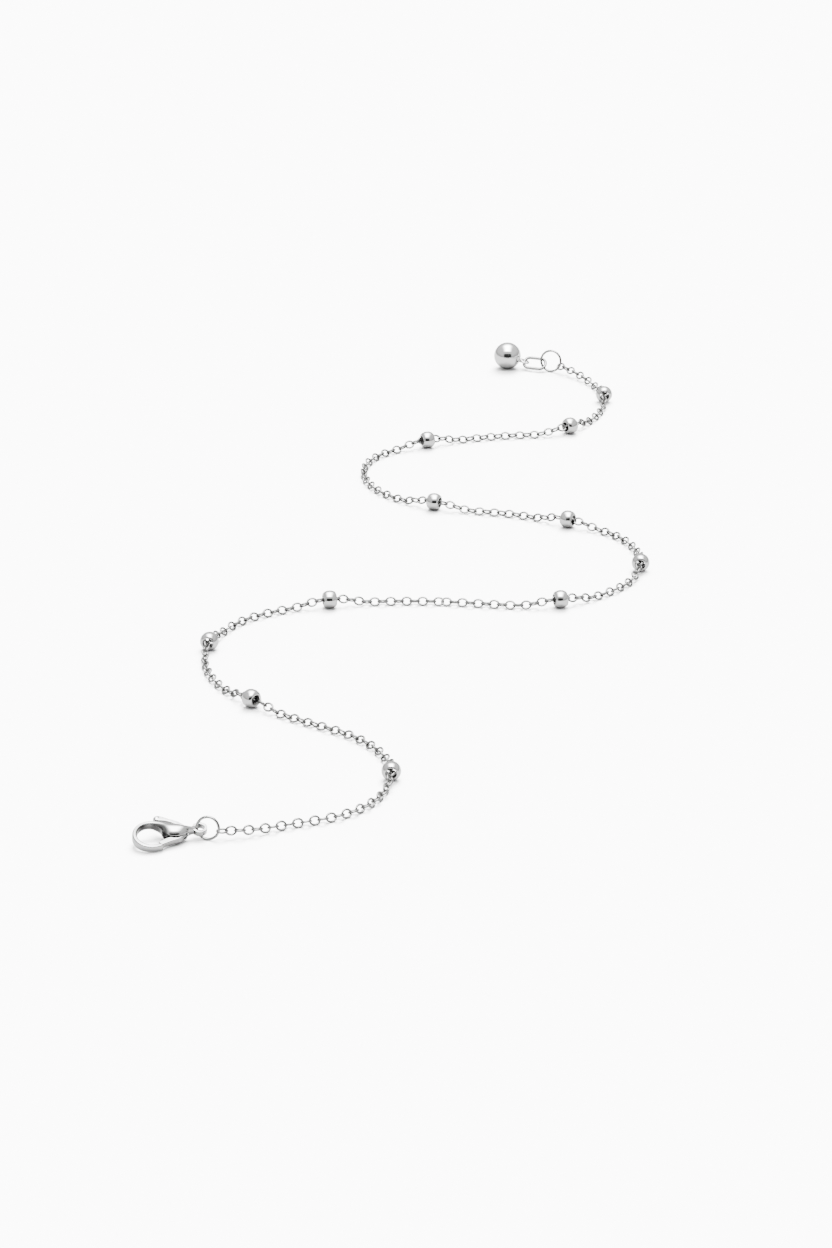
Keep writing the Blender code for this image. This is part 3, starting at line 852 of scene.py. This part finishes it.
@dataclass
class LeverClasp:
    """The clasp: hook, domed housing, neck and eye in one casting, and the lever that shuts the hook."""

    body_finish: bpy.types.Material
    lever_finish: bpy.types.Material
    section_points: int = 64
    steps_per_row: int = 10
    eye_at: tuple[float, float] = (3.72, 0.36)
    eye_outer: float = 1.80
    eye_hole: float = 1.14
    eye_height: float = 0.72
    pivot_at: tuple[float, float] = (1.80, 0.35)
    pin: float = 0.50
    pin_play: float = 0.05
    pin_seat: float = 0.22
    lever_height: float = 0.74
    play: float = 0.10
    gate_reach: float = 3.78
    knob_at: tuple[float, float] = (-2.60, 2.68)
    knob: float = 0.90
    knob_sides: int = 48
    boss: float = 0.56
    gate_sector: tuple[float, float] = (177.0, 298.0)
    tab_sector: tuple[float, float] = (28.0, 133.0)
    slot_reach: float = 2.6
    way_sector: tuple[float, float] = (198.0, 235.0)
    way_depth: float = 0.62
    way_height: float = 1.4
    lever_voxel: float = 0.03
    lever_passes: int = 20
    slot_steps: int = 16
    boss_steps: int = 12
    way_steps: int = 20
    outline_steps: int = 8
    frame: Matrix = field(init=False)

    def build(self) -> None:
        """Build the casting and the lever."""
        band = self._band()
        tilt = tilted(CLASP_TURN, CLASP_ROLL)
        lowest = min((tilt @ vert.co).z for vert in band.data.vertices)
        self.frame = Matrix.Scale(MM, 4) @ Matrix.Translation((*CLASP_AT, -lowest)) @ tilt
        self._casting(band)
        self._lever()

    def _section(self, width: float, height: float, squareness: float) -> list[tuple[float, float]]:
        """A rounded oblong's points, as offsets across and up."""
        power = 2 / squareness
        points = []
        for i in range(self.section_points):
            a = math.tau * i / self.section_points
            across = math.copysign(abs(math.cos(a)) ** power, math.cos(a))
            up = math.copysign(abs(math.sin(a)) ** power, math.sin(a))
            points.append((across * width / 2, up * height / 2))
        return points

    def _band(self) -> bpy.types.Object:
        """The hook, housing and neck as one loft, in millimetres."""
        rows = natural_spline(CLASP_BAND, (len(CLASP_BAND) - 1) * self.steps_per_row + 1)
        shape = bmesh.new()
        loops = []
        for i, (u, v, width, height, squareness) in enumerate(rows):
            before, after = rows[max(i - 1, 0)], rows[min(i + 1, len(rows) - 1)]
            run = Vector((after[0] - before[0], after[1] - before[1])).normalized()
            loop = []
            for across, up in self._section(width, height, squareness):
                loop.append(shape.verts.new((u - run.y * across, v + run.x * across, up)))
            loops.append(loop)
        for one, two in zip(loops, loops[1:]):
            for i in range(self.section_points):
                j = (i + 1) % self.section_points
                shape.faces.new((one[i], one[j], two[j], two[i]))
        shape.faces.new(loops[0])
        shape.faces.new(loops[-1])
        bmesh.ops.recalc_face_normals(shape, faces=shape.faces)
        return new_object("clasp_band", as_mesh(shape, "clasp_band"))

    def _slot_outline(self) -> list[tuple[float, float]]:
        """The lever's slot: a bore for the boss with a sector open to each side."""
        near = self.boss + self.play
        outline = []
        followed = (self.tab_sector, self.gate_sector[0]), (self.gate_sector, 360 + self.tab_sector[0])
        for sector, following in followed:
            outline += arc(self.slot_reach, *sector, self.slot_steps)
            outline += arc(near, sector[1], following, self.boss_steps)
        return outline

    def _casting(self, band: bpy.types.Object) -> None:
        """Join, cut and wear the casting, then put it in place."""
        eye = disc(self.eye_outer / 2, self.eye_height, self.eye_at)
        hole = disc(self.eye_hole / 2, 2 * self.eye_height, self.eye_at)
        slot = slab(self._slot_outline(), self.lever_height + 2 * self.play, self.pivot_at)
        seats = self.lever_height + 2 * (self.play + self.pin_seat)
        seat = disc(self.pin / 2 + self.pin_play, seats, self.pivot_at)
        reach = self.gate_reach + self.play
        start, end = self.way_sector
        sweep = arc(reach, start, end, self.way_steps)
        sweep += arc(self.way_depth * reach, end, start, self.way_steps)
        gate_way = slab(sweep, self.way_height, self.pivot_at)
        boolean(band, "UNION", eye)
        for cutter in (hole, slot, seat, gate_way):
            boolean(band, "DIFFERENCE", cutter)
        mesh = CastShape().finish(band)
        discard(eye, hole, slot, seat, gate_way)
        mesh.transform(self.frame)
        piece = Piece("clasp_casting", Body.BRACELET, ("clasp_body",), "clasp_steel", self.body_finish)
        piece.place(mesh)

    def _lever_outline(self) -> list[tuple[float, float]]:
        """The lever's outline with its gate ended on the arc that clears the hook's tip."""
        smooth = natural_spline(LEVER_OUTLINE, self.outline_steps * len(LEVER_OUTLINE))
        limited = []
        for x, y in smooth:
            share = min(1, self.gate_reach / math.hypot(x, y))
            limited.append((x * share, y * share))
        start = math.degrees(math.atan2(limited[-1][1], limited[-1][0]))
        end = math.degrees(math.atan2(limited[0][1], limited[0][0]))
        return limited + arc(self.gate_reach, start, end, self.outline_steps)[1:-1]

    def _knob(self) -> bpy.types.Object:
        """The round knob that the thumb pushes, at the tab's end."""
        shape = bmesh.new()
        sides = self.knob_sides
        bmesh.ops.create_uvsphere(
            shape, u_segments=sides, v_segments=sides // 2, radius=self.knob / 2
        )
        place = (self.pivot_at[0] + self.knob_at[0], self.pivot_at[1] + self.knob_at[1], 0)
        bmesh.ops.translate(shape, verts=shape.verts, vec=place)
        return new_object("knob", as_mesh(shape, "knob"))

    def _lever(self) -> None:
        """Build the gate and thumb tab in one, then put it in place."""
        lever = slab(self._lever_outline(), self.lever_height, self.pivot_at)
        bore = disc(self.pin / 2 + self.pin_play, 2 * self.lever_height, self.pivot_at)
        knob = self._knob()
        boolean(lever, "UNION", knob)
        boolean(lever, "DIFFERENCE", bore)
        mesh = CastShape(self.lever_voxel, self.lever_passes).finish(lever)
        discard(bore, knob)
        mesh.transform(self.frame)
        piece = Piece("clasp_gate", Body.LEVER, ("clasp_lever",), "lever_steel", self.lever_finish)
        piece.place(mesh)


@dataclass
class BallDrop:
    """The ball with its peg and eye, and the oval link that hangs it from the end ring."""

    ball_finish: bpy.types.Material
    link_finish: bpy.types.Material
    ball_at: tuple[float, float] = (14.73, 83.4)
    diameter: float = 4.0
    ball_sides: int = 128
    turn: float = -5.0
    tilt: float = 18.0
    peg: float = 0.70
    peg_length: float = 0.15
    eye_outer: float = 1.45
    eye_wire: float = 0.28
    eye_steps: int = 64
    fitting_voxel: float = 0.03
    fitting_passes: int = 6
    link_at: tuple[float, float, float] = (18.82, 82.56, 1.07)
    link_length: float = 3.78
    link_width: float = 2.2
    link_wire: float = 0.44
    link_turn: float = -19.3
    link_lean: float = 41.3
    bend_steps: int = 40

    def build(self) -> None:
        """Build the ball and its link."""
        self._ball()
        self._link()

    def _ball(self) -> None:
        """The ball, its peg and its eye."""
        radius = self.diameter / 2
        reach = radius + self.peg_length
        shape = bmesh.new()
        sides = self.ball_sides
        bmesh.ops.create_uvsphere(shape, u_segments=sides, v_segments=sides // 2, radius=radius)
        ball = as_mesh(shape, "ball")
        neck = disc(self.peg / 2, 2 * self.peg_length + self.peg, (0, 0))
        outwards = Matrix.Translation((reach - self.peg / 2, 0, 0))
        neck.data.transform(outwards @ Matrix.Rotation(math.pi / 2, 4, "Y"))
        loop_radius = (self.eye_outer - self.eye_wire) / 2
        centre = reach + self.eye_outer / 2 - self.eye_wire / 2
        ring = [(centre + x, y) for x, y in arc(loop_radius, 0, 360, self.eye_steps)[:-1]]
        eye = new_object("eye", round_wire(ring, self.eye_wire, closed=True))
        boolean(neck, "UNION", eye)
        fitting = CastShape(self.fitting_voxel, self.fitting_passes).finish(neck)
        discard(eye)
        mesh = joined((ball, fitting))
        place = Matrix.Scale(MM, 4) @ Matrix.Translation((*self.ball_at, radius))
        mesh.transform(place @ tilted(self.turn, self.tilt, "Y"))
        Piece("ball_drop", Body.BRACELET, ("end_ball",), "ball_steel", self.ball_finish).place(mesh)

    def _link(self) -> None:
        """The oval link."""
        radius = (self.link_width - self.link_wire) / 2
        shift = (self.link_length - self.link_wire) / 2 - radius
        middle = []
        for side, start in ((1, -90), (-1, 90)):
            bend = arc(radius, start, start + 180, self.bend_steps)
            middle += [(side * shift + x, y) for x, y in bend]
        mesh = round_wire(middle, self.link_wire, closed=True)
        place = Matrix.Scale(MM, 4) @ Matrix.Translation(self.link_at)
        mesh.transform(place @ tilted(self.link_turn, self.link_lean))
        Piece("oval_link", Body.BRACELET, ("drop_link",), "drop_steel", self.link_finish).place(mesh)


@dataclass
class Studio:
    """A pale floor, soft light from above, and the photograph's camera.

    The room's light and shade go by which way one looks: the angle over the floor from the camera's
    side, in radians, and the lean to one side. Each is full between bounds and fades over an edge.
    """

    camera_at: tuple[float, float, float] = (1.0, -577.7, 235.74)
    camera_pitch: float = 67.234
    lens: float = 134.49
    nearest: float = 10.0
    farthest: float = 50_000.0
    floor_size: float = 3000.0
    floor_depth: float = 0.01
    shown: float = 0.8
    mirrored: float = 0.22
    fill_level: float = 27.0
    fill_softness: float = 36.0
    fill_turn: tuple[float, float] = (-32.0, 8.0)
    room_level: float = 1.15
    room: tuple[tuple[float, float], ...] = ((0.0, 0.45), (0.12, 0.78), (0.32, 1.22), (0.6, 1.35))
    light_level: float = 24.0
    light_over: tuple[float, float] = (1.05, 1.85)
    light_over_edges: tuple[float, float] = (0.12, 0.85)
    light_half_width: float = 0.12
    light_side_edge: float = 0.6
    light_falloff: float = 2.2
    shade_level: float = 0.96
    shade_over: tuple[float, float] = (0.06, 0.54)
    shade_over_edge: float = 0.16
    shade_half_width: float = 0.44
    shade_side_edge: float = 0.2

    def build(self) -> None:
        """Set up the stage."""
        self._camera()
        self._floor()
        self._fill()
        self._surroundings()

    def _camera(self) -> None:
        """The camera at the photograph's place and angle."""
        data = bpy.data.cameras.new("camera")
        data.lens = self.lens
        data.clip_start = self.nearest * MM
        data.clip_end = self.farthest * MM
        made = new_object("camera", data)
        made.location = Vector(self.camera_at) * MM
        made.rotation_euler = (math.radians(self.camera_pitch), 0, 0)
        bpy.context.scene.camera = made

    def _floor(self) -> None:
        """The white surface under the bracelet, and the dimmer one that shows in polished metal."""
        shown = self._card("floor", self.shown, self.floor_depth)
        shown.visible_glossy = False
        mirrored = self._card("mirrored_floor", self.mirrored, 2 * self.floor_depth)
        mirrored.visible_camera = False
        for card in (shown, mirrored):
            card.visible_diffuse = False
            card.visible_shadow = False

    def _card(self, name: str, grey: float, depth: float) -> bpy.types.Object:
        """One matt grey card that lies level, a little under the bracelet."""
        half = self.floor_size * MM / 2
        mesh = bpy.data.meshes.new(name)
        corners = ((-half, -half), (half, -half), (half, half), (-half, half))
        mesh.from_pydata([(x, y, -depth * MM) for x, y in corners], [], [(0, 1, 2, 3)])
        made = new_object(name, mesh)
        material = bpy.data.materials.new(f"{name}_card")
        material.use_nodes = True
        shader = material.node_tree.nodes["Principled BSDF"]
        shader.inputs["Base Color"].default_value = (grey, grey, grey, 1)
        shader.inputs["Roughness"].default_value = 1.0
        shader.inputs["Specular IOR Level"].default_value = 0.0
        mesh.materials.append(material)
        return made

    def _fill(self) -> None:
        """Soft light on the floor from overhead, kept out of the metal's reflections."""
        data = bpy.data.lights.new("fill", "SUN")
        data.energy = self.fill_level
        data.angle = math.radians(self.fill_softness)
        made = new_object("fill", data)
        made.rotation_euler = [math.radians(turn) for turn in (*self.fill_turn, 0)]
        made.visible_glossy = False

    def _surroundings(self) -> None:
        """A grey room under one long soft light, darker near the horizon and darkest by the camera."""
        world = bpy.data.worlds.new("studio")
        world.use_nodes = True
        graph = NodeGraph(world.node_tree)
        way = graph.node("ShaderNodeTexCoord", output="Generated")
        parts = graph.node("ShaderNodeSeparateXYZ", values={"Vector": way}).socket.node
        side, back, up = (Signal(graph, parts.outputs[axis]) for axis in "XYZ")
        over = graph.node("ShaderNodeMath", {"operation": "ARCTAN2"}, {0: up, 1: back * -1})
        light = self._between(over, self.light_over, self.light_over_edges)
        light = light * self._within(side, self.light_half_width, self.light_side_edge)
        light = light**self.light_falloff
        shade = self._between(over, self.shade_over, (self.shade_over_edge, self.shade_over_edge))
        shade = shade * self._within(side, self.shade_half_width, self.shade_side_edge)
        room = graph.node("ShaderNodeValToRGB", {"stops": self.room}, {"Fac": up})
        lit = room * self.room_level * (1 - shade * self.shade_level)
        strength = lit + light * self.light_level
        shader = world.node_tree.nodes["Background"]
        shader.inputs["Color"].default_value = (1, 1, 1, 1)
        world.node_tree.links.new(strength.socket, shader.inputs["Strength"])
        bpy.context.scene.world = world

    def _within(self, value: Signal, half_width: float, edge: float) -> Signal:
        """One where a value lies within a half width of nought, fading out over an edge."""
        return self._between(value, (-half_width, half_width), (edge, edge))

    @staticmethod
    def _between(value: Signal, bounds: tuple[float, float], edges: tuple[float, float]) -> Signal:
        """One where a value lies between two bounds, fading to nought over an edge outside each."""
        low, high = bounds
        rise = {"From Min": low - edges[0], "From Max": low, "To Min": 0.0, "To Max": 1.0}
        fall = {"From Min": high, "From Max": high + edges[1], "To Min": 1.0, "To Max": 0.0}
        smooth = {"interpolation_type": "SMOOTHSTEP"}
        ramps = [
            value.graph.node("ShaderNodeMapRange", smooth, {"Value": value, **ramp})
            for ramp in (rise, fall)
        ]
        return ramps[0] * ramps[1]


def main() -> None:
    """Build the bracelet and its stage."""
    logging.basicConfig(level=logging.INFO, format="%(message)s")
    # Far darker than the same steel in the beads and ball: painted shade for how dim the thin wire looks
    # under this light. The higher roughness is wear.
    chain_steel = PolishedSteel(
        "chain_steel_worn_painted_shade",
        tint=(0.20, 0.20, 0.197),
        shade=0.15,
        roughness=0.16,
        mark_size=0.06,
    ).material()
    bead_steel = PolishedSteel(
        "bead_steel_mirror",
        tint=(0.52, 0.52, 0.515),
        shade=0.44,
        roughness=0.02,
        unevenness=0.03,
        mark_depth=0.03,
    ).material()
    # Near-black: painted shade inside the beads' holes; the high roughness is the unpolished drilling.
    bore_shade_steel = PolishedSteel(
        "drilled_bore_painted_shade",
        tint=(0.07, 0.07, 0.07),
        shade=0.04,
        roughness=0.35,
        mark_depth=0.3,
    ).material()
    clasp_steel = PolishedSteel(
        "clasp_steel_cast_hook_shade",
        tint=(0.45, 0.45, 0.446),
        shade=0.35,
        roughness=0.09,
        mark_depth=0.12,
        # Painted shade darkens the inside of the hook.
        hollow_shade_and_dulling=HollowShadeAndDulling(),
    ).material()
    lever_steel = PolishedSteel(
        "lever_steel_cast",
        tint=(0.43, 0.43, 0.426),
        shade=0.33,
        roughness=0.10,
        mark_depth=0.12,
    ).material()
    # Darker than the same steel in the clasp and ball: painted shade for how dim the thin wire looks
    # under this light. The oval link shares it.
    wire = PolishedSteel(
        "ring_steel_wire_painted_shade",
        tint=(0.27, 0.27, 0.267),
        shade=0.21,
        roughness=0.12,
        mark_size=0.07,
    )
    ring_steel = wire.material()
    drop_steel = replace(wire, name="drop_steel_wire_painted_shade", roughness=0.14).material()
    ball_steel = PolishedSteel(
        "ball_steel_mirror", roughness=0.07, unevenness=0.04, mark_depth=0.03
    ).material()
    pin_steel = PolishedSteel("pin_steel_turned", roughness=0.25, mark_depth=0.2).material()
    line = ChainLine()
    LinkChain(line, chain_steel).build()
    DrilledBeads(line, bead_steel, bore_shade_steel).build()
    JumpRing("clasp_ring", (-23.48, -81.46), 3.0, -12.0, ring_steel).build()
    JumpRing("end_ring", (21.22, 81.95), 3.4, -20.0, ring_steel).build()
    LeverClasp(clasp_steel, lever_steel).build()
    BallDrop(ball_steel, drop_steel).build()
    pin = frame["nodes"]["clasp_pin"]
    pin.data.materials.clear()
    pin.data.materials.append(pin_steel)
    Studio().build()


if __name__ == "__main__":
    main()
